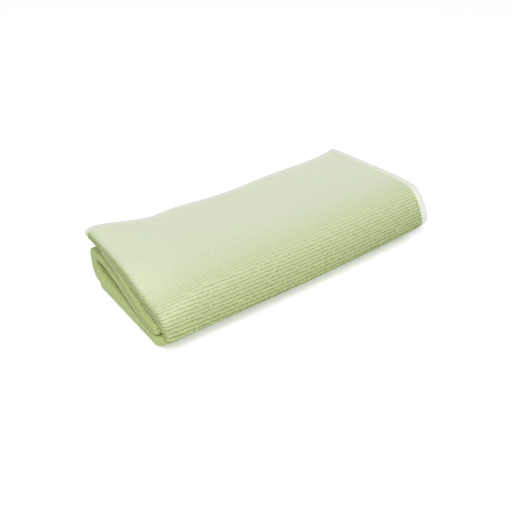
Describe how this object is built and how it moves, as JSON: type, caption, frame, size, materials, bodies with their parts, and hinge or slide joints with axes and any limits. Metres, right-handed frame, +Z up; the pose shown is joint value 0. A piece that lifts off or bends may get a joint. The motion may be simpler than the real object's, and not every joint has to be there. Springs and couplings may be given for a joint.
{
  "type": "folded microfibre cloth",
  "caption": "Ribbed microfibre cleaning cloth with a white overlocked edge, folded into a flat long pack that rests on a surface.",
  "frame": {"origin": "middle of the pack's length and depth, on the surface that it rests on", "axes": "+X along the ribs from the left folds to the right hems, -Y to the rounded front fold, +Z up"},
  "size_m": [0.2011, 0.0938, 0.0336],
  "materials": {
    "microfibre": "matt ribbed short pile",
    "overlock_thread": "matt textured thread"
  },
  "bodies": {
    "root": {"cloth": "microfibre", "edging": "overlock_thread"}
  },
  "joints": []
}
